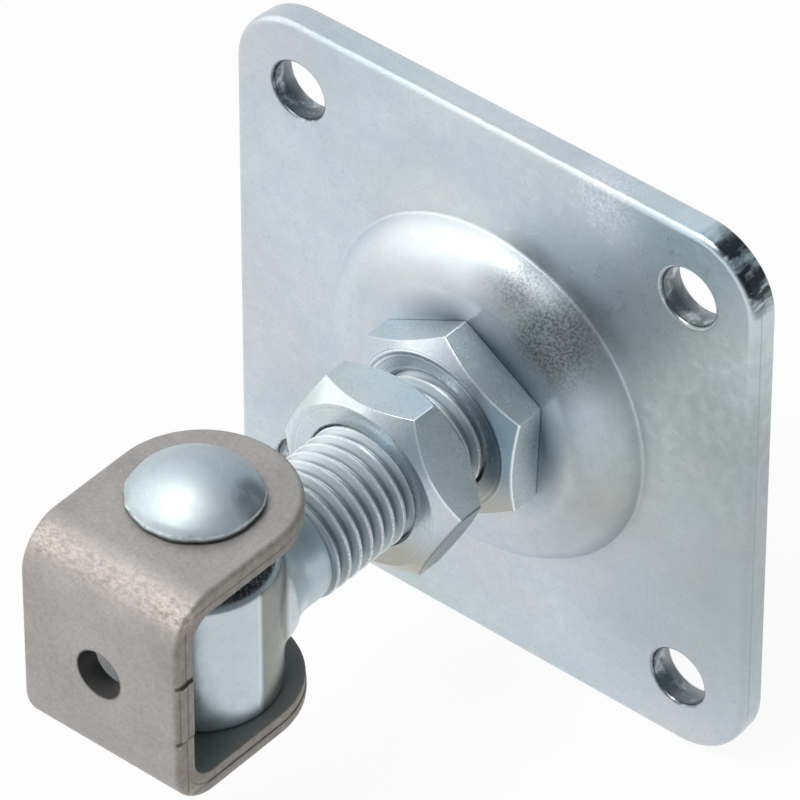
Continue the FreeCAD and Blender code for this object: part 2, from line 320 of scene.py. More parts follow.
def domed_centre():
    """Pressed dome with the nut's hole and the hollow behind it, out to a flat ring of the plate."""
    shoulder = (DOME_TOP_R, DOME_TOP - DOME_SHOULDER_R)
    rise, reach = SHEET_T + CREASE_R - shoulder[1], DOME_SHOULDER_R + CREASE_R
    meet = math.degrees(math.asin(rise / reach))
    crease = (shoulder[0] + math.sqrt(reach ** 2 - rise ** 2), SHEET_T + CREASE_R)
    outline = [(DOME_LAND_R, SHEET_T)] + arc(crease, CREASE_R, 270, 180 + meet, 5)
    outline += arc(shoulder, DOME_SHOULDER_R, meet, 90, 26)[1:]
    outline += arc((SPIGOT_HOLE_R + 0.5, DOME_TOP - 0.5), 0.5, 90, 180, 4)
    outline += [(SPIGOT_HOLE_R, DOME_HOLLOW + 0.2), (SPIGOT_HOLE_R + 0.2, DOME_HOLLOW)]
    inner_r = DOME_SHOULDER_R - SHEET_T
    inner = (DOME_TOP_R, DOME_HOLLOW - inner_r)
    outline += arc(inner, inner_r, 90, 0, 12)
    mouth = DOME_TOP_R + inner_r
    outline += arc((mouth + 1.6, 1.6), 1.6, 180, 270, 8) + [(DOME_LAND_R, 0)]
    return turned("dome", outline, steps=192)


def screw_hole(name):
    """Punched hole with a rolled front rim, a burnished land and a broken-out back."""
    outline = [(SCREW_LAND_R, SHEET_T)]
    outline += arc((SCREW_R + 0.7, SHEET_T - 0.7), 0.7, 90, 180, 6)
    outline += [(SCREW_R, 2.3), (SCREW_R + 0.16, 2.1), (SCREW_R + 0.30, 0.3),
                (SCREW_R + 0.5, 0.0), (SCREW_LAND_R, 0)]
    return turned(name, outline, steps=64)


def plate_pressing():
    """Square plate with die-rolled front edges, a sheared side, a dome and four screw holes."""
    bpy.ops.object.select_all(action="DESELECT")
    start_side = PLATE_SIDE - 2 * PLATE_SHEAR_STEP
    bpy.ops.mesh.primitive_plane_add(size=start_side * MM, rotation=(math.pi / 2, 0, 0))
    plate = named("pressed_plate")
    edit(plate)
    bpy.ops.mesh.bevel(offset=PLATE_CORNER_R * MM, segments=18, affect="VERTICES")
    pushed(OUT * SHEAR_FROM)
    pushed(OUT * SHEAR_RUN)
    grown = PLATE_SIDE / start_side
    bpy.ops.transform.resize(value=(grown, 1, grown))
    pushed(OUT * (SHEET_T - SHEAR_FROM - SHEAR_RUN))
    pick("EDGE", lambda e: all(v.co.y < -(SHEET_T - 0.01) * MM for v in e.verts))
    bpy.ops.mesh.bevel(offset=PLATE_ROLL * MM, segments=7, affect="EDGES")
    pick("EDGE", lambda e: all(v.co.y > -0.01 * MM for v in e.verts))
    bpy.ops.mesh.bevel(offset=PLATE_BACK_BREAK * MM, segments=2, affect="EDGES")
    bpy.ops.mesh.select_all(action="SELECT")
    bpy.ops.mesh.normals_make_consistent(inside=False)
    done()
    corners = [(x, z) for x in (-SCREW_AT, SCREW_AT) for z in (-SCREW_AT, SCREW_AT)]
    cut(plate, drilled("dome_cutter", DOME_LAND_R, 0, 0, -2, SHEET_T + 2, 192))
    for x, z in corners:
        cut(plate, drilled("hole_cutter", SCREW_LAND_R, x, z, -2, SHEET_T + 2))
    edit(plate)

    def in_hole_wall(face):
        m = middle(face)
        rings = [(0, 0, DOME_LAND_R)] + [(x, z, SCREW_LAND_R) for x, z in corners]
        return abs(face.normal.y) < 0.1 and any(
            math.hypot(m.x - x, m.z - z) < ring + 0.02 for x, z, ring in rings)

    pick("FACE", in_hole_wall)
    bpy.ops.mesh.delete(type="FACE")
    done()
    hole = screw_hole("screw_hole")
    holes = [copied(hole, "screw_hole_copy", Vector((x, 0, z))) for x, z in corners]
    bpy.data.objects.remove(hole)
    joined(plate, domed_centre(), *holes)
    return smoothed(plate)


# Nuts

def hexagon_blank(name, back, front, turn):
    """Hexagon bar between two distances from the wall, turned about the stud in degrees."""
    bpy.ops.object.select_all(action="DESELECT")
    bpy.ops.mesh.primitive_cylinder_add(
        vertices=6, radius=NUT_CORNER_R * MM, depth=(front - back) * MM,
        location=OUT * (back + front) / 2 * MM, rotation=(math.pi / 2, math.radians(30 - turn), 0))
    return named(name)


def bore_tool(back, front):
    """Reamer with a countersink at both faces of a nut."""
    deep = COUNTERSINK_R - BORE_R
    return turned("reamer", [(0, back - 1), (COUNTERSINK_R, back - 1), (COUNTERSINK_R, back),
                             (BORE_R, back + deep), (BORE_R, front - deep), (COUNTERSINK_R, front),
                             (COUNTERSINK_R, front + 1), (0, front + 1)], steps=96)


def edges_broken(nut):
    """Breaks the sharp outer edges of a nut and leaves its bore as it is."""
    edit(nut)
    pick("EDGE", lambda e: len(e.link_faces) == 2 and e.calc_face_angle(0) > math.radians(24)
         and min(math.hypot(v.co.x, v.co.z) for v in e.verts) > 11 * MM)
    bpy.ops.mesh.bevel(offset=0.24 * MM, segments=3, affect="EDGES", clamp_overlap=True)
    done()
    return nut


def tapped(nut, back, front):
    """Cuts the thread's groove into a nut's bore."""
    return cut(nut, rolled_thread("tap", BORE_R - 0.3, BORE_GROOVE_R, back + 0.6, front - 0.6))


def adjusting_nut():
    """Hexagon head on the dome, with its spigot and the collar behind the sheet."""
    back, front, face_r = ADJUSTER_BACK, ADJUSTER_FRONT, ADJUSTER_FACE_R
    nut = hexagon_blank("captive_adjusting_nut", back, front, ADJUSTER_TURN)
    outer = NUT_CORNER_R + 1
    drop = (outer - face_r) * math.tan(math.radians(30))
    envelope = turned("envelope", [(0, back - 1), (outer, back - 1), (outer, front - drop),
                                   (face_r, front), (0, front)])
    cut(nut, envelope, "INTERSECT")
    flat_r = COLLAR_R - COLLAR_CHAMFER
    spigot = turned("spigot", [(0, COLLAR_BACK), (flat_r, COLLAR_BACK),
                               (COLLAR_R, COLLAR_BACK + COLLAR_CHAMFER),
                               (COLLAR_R, COLLAR_FRONT - COLLAR_CHAMFER), (flat_r, COLLAR_FRONT),
                               (SPIGOT_R, COLLAR_FRONT), (SPIGOT_R, back + 1), (0, back + 1)], steps=96)
    cut(nut, spigot, "UNION")
    cut(nut, bore_tool(COLLAR_BACK, front))
    return smoothed(edges_broken(tapped(nut, COLLAR_BACK, front)))


def lock_nut():
    """Hexagon nut chamfered on both faces."""
    back, front, face_r = LOCK_BACK, LOCK_FRONT, LOCK_FACE_R
    nut = hexagon_blank("chamfered_lock_nut", back, front, LOCK_TURN)
    outer = NUT_CORNER_R + 1
    drop = (outer - face_r) * math.tan(math.radians(40))
    envelope = turned("envelope", [(0, back), (face_r, back), (outer, back + drop),
                                   (outer, front - drop), (face_r, front), (0, front)])
    cut(nut, envelope, "INTERSECT")
    cut(nut, bore_tool(back, front))
    return smoothed(edges_broken(tapped(nut, back, front)))


# Eye bolt

def forged_eye_bolt():
    """Eye, neck and threaded stud in one piece."""
    r, foot, brow = EYE_R, EYE_FOOT_R, EYE_BROW_R
    barrel = [(0, EYE_LOW)] + arc((r - foot, EYE_LOW + foot), foot, 270, 360, 6)
    barrel += arc((r - brow, EYE_HIGH - brow), brow, 0, 90, 8) + [(0, EYE_HIGH)]
    pin = OUT * PIN
    forging = turned("forged_eye_bolt", barrel, axis=UP, centre=pin)
    sweep = math.degrees(math.asin(NECK_FLARE_LENGTH / NECK_FLARE_R))
    flare = arc((NECK_R + NECK_FLARE_R, NECK_FLARE_AT), NECK_FLARE_R, 180, 180 - sweep, 10)
    neck = [(0, 51.6), (8.9, 51.6), (NECK_R, 52.3)] + flare
    neck += [(flare[-1][0], PIN - 7), (0, PIN - 7)]
    cut(forging, turned("neck", neck), "UNION")
    worked(forging, "REMESH", mode="VOXEL", voxel_size=0.27 * MM, use_smooth_shade=True)
    worked(forging, "SMOOTH", factor=0.5, iterations=4)
    blend = forging.vertex_groups.new(name="blend")
    for v in forging.data.vertices:
        x, y, z = v.co / MM
        off_neck = math.hypot(x, z) - 11.4
        off_barrel = math.hypot(x, y + PIN) - r
        gap = math.hypot(off_neck, off_barrel) if y > -PIN else 9
        blend.add([v.index], max(0.0, min(1.0, (4.2 - gap) / 2.4)), "REPLACE")
    worked(forging, "SMOOTH", factor=0.5, iterations=60, vertex_group="blend")
    stud = rolled_thread("stud", STUD_ROOT_R, STUD_CREST_R, 0.5, 55)
    trim = turned("trim", [(0, STUD_TAIL), (8.7, STUD_TAIL), (10.2, STUD_TAIL + 1.5), (10.2, 49.8),
                           (9.3, THREAD_FROM), (0, THREAD_FROM)], steps=96)
    cut(stud, trim, "INTERSECT")
    cut(forging, stud, "UNION")
    rim = EYE_BORE_RIM
    bore = [(0, EYE_LOW - 1), (EYE_BORE_R + rim, EYE_LOW - 1), (EYE_BORE_R + rim, EYE_LOW),
            (EYE_BORE_R, EYE_LOW + rim), (EYE_BORE_R, EYE_HIGH - rim),
            (EYE_BORE_R + rim, EYE_HIGH), (EYE_BORE_R + rim, EYE_HIGH + 1), (0, EYE_HIGH + 1)]
    cut(forging, turned("bore", bore, axis=UP, centre=pin, steps=96))
    take(forging)
    bpy.ops.object.shade_smooth_by_angle(angle=math.radians(38))
    return forging


# Rivet

def set_rivet():
    """Rivet with a high domed head above and a flatter set head below."""
    def head(seat, way, radius, height, rim, count):
        rise = height - rim
        ball = (radius * radius + rise * rise) / (2 * rise)
        full = math.degrees(math.asin(radius / ball))
        crown = [(ball * math.sin(math.radians(full * k / count)),
                  seat + way * (rim - (ball - rise) + ball * math.cos(math.radians(full * k / count))))
                 for k in range(count + 1)]
        return crown + [(radius + 0.02, seat + way * (rim - 0.20)), (radius, seat + way * 0.42),
                        (radius - HEAD_LIP, seat + way * 0.26), (radius - HEAD_LIP - 1.3, seat)]

    above, below = BRACKET_HIGH + RIVET_GAP, BRACKET_LOW - RIVET_GAP
    top = head(above, 1, HEAD_R, HEAD_H, HEAD_RIM, 26)
    tail = head(below, -1, SET_HEAD_R, SET_HEAD_H, SET_HEAD_RIM, 20)
    outline = top + [(RIVET_R, above), (RIVET_R, below)] + tail[::-1]
    rivet = turned("set_rivet", outline, axis=UP, centre=OUT * PIN, steps=144)
    flash = rivet.vertex_groups.new(name="flash")
    for v in rivet.data.vertices:
        x, y, z = v.co / MM
        radius = math.hypot(x, y + PIN)
        near_rim = max(0.0, 1 - abs(radius - HEAD_R) / 0.9) if BRACKET_HIGH < z < BRACKET_HIGH + 2 else 0.0
        flash.add([v.index], near_rim, "REPLACE")
    ripple = bpy.data.textures.new("rim_ripple", "CLOUDS")
    ripple.noise_scale = 4.5 * MM
    worked(rivet, "DISPLACE", texture=ripple, texture_coords="LOCAL", strength=0.9 * MM,
           mid_level=0.66, vertex_group="flash")
    return smoothed(rivet, 40)


# Gate bracket

def flat_blank():
    """Blank of the bracket before folding: web in the middle, round ends, sheared edges."""
    length = 2 * FLANGE_LENGTH + math.pi * BEND_MID_R + WEB_LENGTH
    bpy.ops.object.select_all(action="DESELECT")
    bpy.ops.mesh.primitive_plane_add(size=1, rotation=(math.pi / 2, 0, 0))
    blank = bpy.context.object
    blank.scale = ((BAR_W - BLANK_STEP) * MM, (length - BLANK_STEP) * MM, 1)
    blank = named("folded_bracket")
    edit(blank)
    bpy.ops.mesh.bevel(offset=(BAR_W / 2 - 0.12) * MM, segments=24, affect="VERTICES")
    pushed(OUT * 1.7)
    pushed(OUT * 0.1)
    bpy.ops.transform.resize(value=(BAR_W / (BAR_W - BLANK_STEP), 1, length / (length - BLANK_STEP)))
    pushed(OUT * (BAR_T - 1.8))
    pick("EDGE", lambda e: all(v.co.y < -(BAR_T - 0.01) * MM for v in e.verts))
    bpy.ops.mesh.bevel(offset=0.95 * MM, segments=5, affect="EDGES")
    pick("EDGE", lambda e: all(v.co.y > -0.01 * MM for v in e.verts))
    bpy.ops.mesh.bevel(offset=0.25 * MM, segments=2, affect="EDGES")
    done()
    return welded(blank, 0.05), length


def folded_bracket():
    """Bracket folded to a U from its flat blank, with rivet holes, a web hole and edge lands."""
    blank, length = flat_blank()
    rivet_at = length / 2 - FLANGE_OVERHANG
    holes = ((rivet_at, BRACKET_BORE_R), (-rivet_at, BRACKET_BORE_R), (0, WEB_HOLE_R))
    for z, radius in holes:
        cut(blank, drilled("hole", radius, 0, z, -2, BAR_T + 2, 72))
    edit(blank)

    def on_rim(edge):
        flat = all(abs(v.co.y) < 0.01 * MM for v in edge.verts) or all(
            abs(v.co.y + BAR_T * MM) < 0.01 * MM for v in edge.verts)
        return flat and any(all(abs(math.hypot(v.co.x / MM, v.co.z / MM - z) - r) < 0.02
                                for v in edge.verts) for z, r in holes)

    pick("EDGE", on_rim)
    bpy.ops.mesh.bevel(offset=0.22 * MM, segments=2, affect="EDGES")
    for z in (-EDGE_LAND, EDGE_LAND):
        bpy.ops.mesh.select_all(action="SELECT")
        bpy.ops.mesh.bisect(plane_co=UP * z * MM, plane_no=UP)
    for side in (-1, 1):
        pick("FACE", lambda f: side * f.normal.x > 0.97 and abs(middle(f).z) < EDGE_LAND - 0.2
             and abs(f.normal.y) < 0.1 and abs(middle(f).x) > 14.5)
        pushed(WIDE * side * EDGE_PROUD)
        bpy.ops.transform.resize(value=(1, 0.96, 0.985), center_override=(0, -2 * MM, 0))
    folds, bend = 18, math.pi / 2
    run = BEND_MID_R * bend
    stations = [WEB_LENGTH / 2 + run * (k + 0.5) / folds for k in range(folds)]
    for z in stations:
        for way in (-1, 1):
            bpy.ops.mesh.select_all(action="SELECT")
            bpy.ops.mesh.bisect(plane_co=UP * way * z * MM, plane_no=UP)
    flat = [v.co.z / MM for v in bmesh.from_edit_mesh(blank.data).verts]
    for way in (-1, 1):
        for z in reversed(stations):
            for past in (z - 0.01, z + 0.01):
                pick("VERT", lambda v: way * flat[v.index] > past)
                bpy.ops.transform.rotate(value=way * bend / folds / 2, orient_axis="X",
                                         center_override=(0, -BAR_T / 2 * MM, way * z * MM))
    bpy.ops.mesh.select_all(action="SELECT")
    bpy.ops.transform.translate(value=Vector((0, -(WEB_REACH - BAR_T), BRACKET_MIDDLE)) * MM)
    done()
    return smoothed(welded(blank, 0.001))


# Finishes

def put(tree, kind, inputs=(), **settings):
    """Adds a shader node; an input is a number, a colour or another node's output."""
    node = tree.nodes.new("ShaderNode" + kind)
    for key, value in settings.items():
        setattr(node, key, value)
    for key, value in dict(inputs).items():
        if isinstance(value, bpy.types.NodeSocket):
            tree.links.new(value, node.inputs[key])
        else:
            node.inputs[key].default_value = value
    return node


def noise(tree, place, scale, detail, rough=0.55, stretch=(1, 1, 1), shift=(0, 0, 0)):
    spot = put(tree, "Mapping", {"Vector": place, "Scale": stretch, "Location": shift}).outputs[0]
    return put(tree, "TexNoise", {"Vector": spot, "Scale": scale, "Detail": detail,
                                  "Roughness": rough}).outputs["Fac"]


def between(tree, value, low, high, to_low=0.0, to_high=1.0):
    return put(tree, "MapRange", {"Value": value, "From Min": low, "From Max": high,
                                  "To Min": to_low, "To Max": to_high}).outputs[0]


def mixed(tree, factor, first, second):
    return put(tree, "Mix", {0: factor, 6: first, 7: second}, data_type="RGBA").outputs[2]


def sums(tree, first, second, how="MULTIPLY"):
    return put(tree, "Math", {0: first, 1: second}, operation=how).outputs[0]


def axes(tree, place):
    """Object coordinates in millimetres, one by one."""
    split = put(tree, "SeparateXYZ", {0: place})
    return [sums(tree, split.outputs[k], 1000.0) for k in range(3)]


def span(tree, first, second):
    """Length of the hypotenuse over two coordinates."""
    squares = sums(tree, sums(tree, first, first), sums(tree, second, second), "ADD")
    return sums(tree, squares, 0.5, "POWER")


def off(tree, value, centre):
    """Distance of a coordinate from a centre line."""
    return sums(tree, sums(tree, value, centre, "SUBTRACT"), 0.0, "ABSOLUTE")


def near(tree, place, centre, core, reach):
    """1 within a distance of a spot in millimetres, fading to 0 at the reach."""
    gap = put(tree, "VectorMath", {0: place, 1: Vector(centre) * MM}, operation="DISTANCE")
    return between(tree, gap.outputs["Value"], core * MM, reach * MM, 1.0, 0.0)


def bumped(tree, steps):
    """Chain of bumps from (height, strength, depth in millimetres) steps."""
    normal = None
    for height, strength, depth in steps:
        inputs = {"Height": height, "Strength": strength, "Distance": depth * MM}
        if normal:
            inputs["Normal"] = normal
        normal = put(tree, "Bump", inputs).outputs[0]
    return normal


class Finish:
    """Material in the making: its nodes, its place on the object and its colour so far."""

    def __init__(self, name, metallic, specular=0.5):
        self.material = bpy.data.materials.new(name)
        self.material.use_nodes = True
        self.tree = self.material.node_tree
        self.shader = self.tree.nodes["Principled BSDF"]
        self.shader.inputs["Metallic"].default_value = metallic
        self.shader.inputs["Specular IOR Level"].default_value = specular
        self.place = put(self.tree, "TexCoord").outputs["Object"]
        self.x, self.y, self.z = axes(self.tree, self.place)
        self.colour = None
        self.metal = None
        self.bumps = []

    def tint(self, factor, colour, amount=1.0):
        """Lays a colour over what is there."""
        tone = (*colour, 1)
        if amount != 1.0:
            factor = sums(self.tree, factor, amount)
        self.colour = mixed(self.tree, factor, self.colour, tone)

    def finished(self, rough):
        link = self.tree.links.new
        link(self.colour, self.shader.inputs["Base Color"])
        link(rough, self.shader.inputs["Roughness"])
        if self.metal:
            link(self.metal, self.shader.inputs["Metallic"])
        link(bumped(self.tree, self.bumps), self.shader.inputs["Normal"])
        return self.material


def zinc(name, light, dark, warm, rough=(0.24, 0.40), peel=0.30):
    """Bright zinc plating: cloudy tint, orange peel, speckle and fine drag marks."""
    finish = Finish(name, 0.85)
    tree, place = finish.tree, finish.place
    clouds = noise(tree, place, 26, 3)
    tint = noise(tree, place, 48, 2, shift=(0.3, 0.1, 0.7))
    mottle = noise(tree, place, 420, 7, 0.62)
    speckle = noise(tree, place, 2300, 3, 0.7)
    drag = noise(tree, place, 70, 5, 0.7, stretch=(1, 1, 60))
    finish.colour = mixed(tree, between(tree, clouds, 0.35, 0.68), (*light, 1), (*dark, 1))
    finish.tint(between(tree, tint, 0.50, 0.72), warm, 0.55)
    blush = noise(tree, place, 34, 2, shift=(0.9, 0.4, 0.2))
    finish.tint(between(tree, blush, 0.50, 0.66), (0.72, 0.66, 0.70), 0.30)
    finish.tint(between(tree, blush, 0.46, 0.32), (0.62, 0.72, 0.66), 0.30)
    finish.tint(between(tree, mottle, 0.42, 0.75), dark, 0.30)
    finish.tint(between(tree, speckle, 0.56, 0.72), (0.20, 0.24, 0.28), 0.30)
    finish.tint(between(tree, drag, 0.58, 0.70), (0.86, 0.90, 0.93), 0.22)
    finish.rough = between(tree, mottle, 0.3, 0.75, *rough)
    finish.bumps = [(clouds, 0.25, 0.6), (mottle, peel, 0.035), (speckle, peel, 0.022),
                    (drag, 0.30, 0.012)]
    finish.speckle, finish.mottle = speckle, mottle
    return finish


def plate_finish():
    """Plating of the plate: painted shade in the holes, round the nut and to the right, a dark corner, a
    bloom, painted highlights and painted reflections.
    """
    finish = zinc("plate_zinc", (0.63, 0.71, 0.76), (0.48, 0.56, 0.62), (0.66, 0.66, 0.66))
    tree = finish.tree
    crumbs = between(tree, finish.speckle, 0.40, 0.60)
    across = off(tree, finish.x, 0.0)
    upright = off(tree, finish.z, 0.0)
    to_hole = span(tree, off(tree, across, SCREW_AT), off(tree, upright, SCREW_AT))
    # Painted shade: the screw holes' walls darken inwards, mottled.
    in_hole = between(tree, to_hole, SCREW_R + 0.55, SCREW_R + 0.15)
    in_hole = sums(tree, in_hole, between(tree, finish.mottle, 0.30, 0.50))
    finish.tint(in_hole, (0.05, 0.06, 0.07), 0.85)
    corner = PLATE_SIDE / 2 - PLATE_CORNER_R
    out = span(tree, sums(tree, sums(tree, finish.x, corner, "SUBTRACT"), 0.0, "MAXIMUM"),
               sums(tree, sums(tree, finish.z, corner, "SUBTRACT"), 0.0, "MAXIMUM"))
    diagonal = between(tree, sums(tree, finish.x, finish.z, "ADD"), 88.5, 91.5)
    on_corner = sums(tree, between(tree, out, 11.2, 11.7), diagonal)
    streaks = noise(tree, finish.place, 500, 4, 0.6, stretch=(1, 0.25, 1))
    rim = sums(tree, between(tree, off(tree, finish.y, -3.4), 0.30, 0.05),
               between(tree, across, 49.7, 49.9))
    finish.tint(rim, (0.25, 0.29, 0.33), 0.5)
    finish.tint(near(tree, finish.place, (25, -9, -6), 1, 13), (0.46, 0.40, 0.34), 0.45)
    # Painted dark reflection on the dome's upper right shoulder, speckled, where the lamp's highlight
    # would fall.
    dome_dark_reflection = sums(tree, near(tree, finish.place, (16, -9.5, 20.5), 4, 12),
                near(tree, finish.place, (8, -8, 25.5), 2, 9), "MAXIMUM")
    dome_dark_reflection = sums(tree, dome_dark_reflection, between(tree, finish.speckle, 0.40, 0.62, 1.0, 0.6))
    finish.tint(dome_dark_reflection, (0.105, 0.115, 0.115), 0.96)
    # Painted highlights: a light patch on the dome's upper left shoulder and a bluish glint near the top
    # edge.
    finish.tint(near(tree, finish.place, (-5, -9.5, 23), 4, 17), (0.84, 0.85, 0.84), 0.50)
    glint = near(tree, finish.place, (21.6, -5, 47), 1, 9)
    finish.tint(sums(tree, glint, crumbs), (0.88, 0.96, 1.0), 0.80)
    # Painted reflection: a bluer tone near the top right corner.
    finish.tint(near(tree, finish.place, (41, -5, 46), 2, 14), (0.58, 0.74, 0.86), 0.50)
    # Painted shade: the plate darker towards its right side, in two mottled soft patches.
    patch = sums(tree, near(tree, finish.place, (45, -5, 16), 4, 26),
                 between(tree, finish.mottle, 0.3, 0.6, 0.6, 1.0))
    finish.tint(patch, (0.31, 0.34, 0.31), 0.65)
    finish.tint(near(tree, finish.place, (52, -5, -16), 10, 42), (0.30, 0.335, 0.33), 0.55)
    on_corner = sums(tree, on_corner, between(tree, streaks, 0.60, 0.46))
    finish.tint(on_corner, (0.02, 0.025, 0.03), 0.95)
    radius = span(tree, finish.x, finish.z)
    # Painted shadow on the dome beside the nut, on the side away from the light.
    around_nut = between(tree, radius, 21.0, 16.0)
    to_shade = between(tree, sums(tree, finish.x, finish.z, "ADD"), -4, 16)
    finish.tint(sums(tree, around_nut, to_shade), (0.06, 0.10, 0.13), 0.95)
    stretched = sums(tree, between(tree, radius, 20.5, 22.5), between(tree, radius, 31.5, 30.0))
    matt = sums(tree, sums(tree, around_nut, stretched, "MAXIMUM"), 0.16)
    finish.rough = sums(tree, finish.rough, matt, "ADD")
    return finish.finished(finish.rough)


def nut_finish(name, faces, rings_seen, flats):
    """Plating of a nut: turning rings on its faces, painted shade at the face's lower right, a painted
    warm reflection low down, painted light and shade on single flats.
    """
    finish = zinc(name, (0.66, 0.74, 0.79), (0.48, 0.56, 0.62), (0.69, 0.67, 0.61),
                  rough=(0.20, 0.34))
    tree = finish.tree
    radius = span(tree, finish.x, finish.z)
    rings = put(tree, "TexNoise", {"W": radius, "Scale": 2.6, "Detail": 4.0, "Roughness": 0.75},
                noise_dimensions="1D").outputs["Fac"]
    on_face = None
    for face in faces:
        here = between(tree, off(tree, finish.y, -face), 0.25, 0.15)
        on_face = here if on_face is None else sums(tree, on_face, here, "MAXIMUM")
    dark_ring = sums(tree, on_face, between(tree, rings, 0.50, 0.62))
    bright_ring = sums(tree, on_face, between(tree, rings, 0.44, 0.36))
    finish.tint(dark_ring, (0.24, 0.29, 0.34), 0.75 * rings_seen)
    finish.tint(bright_ring, (0.90, 0.93, 0.95), 0.8 * rings_seen)
    normal = put(tree, "NewGeometry").outputs["True Normal"]
    outward = put(tree, "SeparateXYZ", {0: normal}).outputs[1]
    shaded = sums(tree, between(tree, outward, -0.6, -0.8), between(tree, finish.x, 7, 12))
    shaded = sums(tree, shaded, between(tree, finish.z, -9, -3))
    finish.tint(shaded, (0.14, 0.23, 0.30), 0.80 * rings_seen)
    # Painted reflection: a warm straw tone on the lower part of the nut.
    low = between(tree, finish.z, -1.0, -9.0)
    finish.tint(low, (0.37, 0.355, 0.285), 0.78)
    # Painted light and shade on single flats.
    for degrees, colour, amount in flats:
        turn = math.radians(degrees)
        across = sums(tree, sums(tree, finish.x, math.cos(turn)),
                      sums(tree, finish.z, math.sin(turn)), "ADD")
        finish.tint(between(tree, across, NUT_FLATS / 2 - 0.4, NUT_FLATS / 2 - 0.1), colour, amount)
    finish.bumps.append((sums(tree, rings, on_face), 0.45 * rings_seen, 0.05))
    return finish.finished(finish.rough)


def bolt_finish():
    """Plating of the forging: painted light and shade on the stud, painted shade in the thread roots,
    painted highlights on the crests, a painted shadow on the top face, painted shade on the barrel's far
    side and a parting line.
    """
    finish = zinc("bolt_zinc", (0.67, 0.76, 0.80), (0.54, 0.63, 0.68), (0.66, 0.69, 0.69),
                  rough=(0.26, 0.42), peel=0.16)
    tree = finish.tree
    radius = span(tree, finish.x, finish.z)
    on_stud = between(tree, finish.y, -THREAD_FROM, -THREAD_FROM + 1)
    # Painted light and shade on the stud: a darker middle, lighter low down and lighter still on top.
    finish.tint(on_stud, (0.31, 0.38, 0.42), 0.88)
    finish.tint(sums(tree, on_stud, between(tree, finish.z, -1, -7)), (0.70, 0.75, 0.74), 0.70)
    finish.tint(sums(tree, on_stud, between(tree, finish.z, 4, 8)), (0.88, 0.94, 0.97), 0.60)
    # Painted shade in the thread roots.
    root = sums(tree, between(tree, radius, 9.20, 8.80), on_stud)
    finish.tint(root, (0.10, 0.14, 0.17), 0.55)
    # Painted highlight along the crests, broken by speckle.
    crest = sums(tree, between(tree, radius, 9.76, 9.90), on_stud)
    broken = between(tree, finish.speckle, 0.35, 0.55, 1.0, 0.45)
    finish.tint(sums(tree, crest, broken), (0.97, 0.99, 1.0))
    matt = sums(tree, on_stud, between(tree, crest, 0, 1, 0.18, 0.10))
    finish.rough = sums(tree, finish.rough, sums(tree, on_stud, 0.12), "ADD")
    neck = sums(tree, between(tree, finish.y, -59.5, -57.5), between(tree, finish.y, -51.6, -52.8))
    finish.tint(neck, (0.46, 0.57, 0.63), 0.60)
    finish.metal = sums(tree, 0.82, sums(tree, matt, sums(tree, neck, 0.15), "MAXIMUM"), "SUBTRACT")
    to_pin = span(tree, finish.x, sums(tree, finish.y, PIN, "ADD"))
    top = sums(tree, between(tree, finish.z, EYE_HIGH - 0.25, EYE_HIGH - 0.05),
               between(tree, to_pin, 12.6, 12.2))
    aside = sums(tree, sums(tree, finish.x, 0.76),
                 sums(tree, sums(tree, finish.y, PIN, "ADD"), 0.65), "ADD")
    # Painted shadow of the flange on part of the eye's top face, speckled.
    flange_shadow = sums(tree, top, between(tree, aside, 3.5, 6.0))
    flange_shadow = sums(tree, flange_shadow, between(tree, finish.speckle, 0.34, 0.50))
    finish.tint(flange_shadow, (0.05, 0.06, 0.07), 0.85)
    # Painted shade: a dark brownish tone on the barrel's far half, behind the parting line.
    skin = sums(tree, between(tree, to_pin, EYE_R - 0.35, EYE_R - 0.25),
                between(tree, to_pin, EYE_R + 0.9, EYE_R + 0.3))
    seam = -PIN - 0.7
    behind = between(tree, finish.y, seam + 0.2, seam + 0.9)
    finish.tint(sums(tree, skin, behind), (0.23, 0.225, 0.19), 0.85)
    # Parting line: a thin bump with a painted highlight along it.
    along_seam = sums(tree, between(tree, off(tree, finish.y, seam), 0.40, 0.05), skin)
    finish.tint(along_seam, (0.80, 0.84, 0.85), 0.45)
    finish.bumps.append((along_seam, 0.4, 0.10))
    return finish.finished(finish.rough)


def rivet_finish():
    """Plating of the rivet: soft sheen, painted highlight patches, a painted dark reflection on one side,
    painted shade under the head and a painted highlight along its rim.
    """
    finish = zinc("rivet_zinc", (0.53, 0.60, 0.64), (0.42, 0.50, 0.56), (0.54, 0.55, 0.54),
                  rough=(0.49, 0.64), peel=0.16)
    tree = finish.tree
    # Painted highlights: two light patches on the head.
    for spot in ((1.5, -PIN - 4.6, BRACKET_HIGH + 5), (6.5, -PIN - 3.0, BRACKET_HIGH + 3)):
        finish.tint(near(tree, finish.place, spot, 1.5, 7), (0.78, 0.84, 0.86), 0.45)
    # Painted dark reflection on one side of the head, mottled.
    head_dark_reflection = near(tree, finish.place, (9.0, -PIN + 3.4, BRACKET_HIGH + 2.5), 2.6, 4.8)
    head_dark_reflection = sums(tree, head_dark_reflection, between(tree, finish.mottle, 0.25, 0.55, 0.5, 1.0))
    finish.tint(head_dark_reflection, (0.16, 0.19, 0.20), 0.75)
    # Painted shade under the head's rim and down the shank.
    under = between(tree, finish.z, BRACKET_HIGH + 1.05, BRACKET_HIGH + 0.75)
    finish.tint(sums(tree, under, between(tree, finish.z, 10, 12)), (0.09, 0.085, 0.08), 0.85)
    # Painted highlight along the head's rim, broken by mottle.
    edge = between(tree, off(tree, finish.z, BRACKET_HIGH + 1.32), 0.26, 0.10)
    finish.tint(sums(tree, edge, between(tree, finish.mottle, 0.44, 0.56)), (0.90, 0.92, 0.93), 0.7)
    return finish.finished(finish.rough)


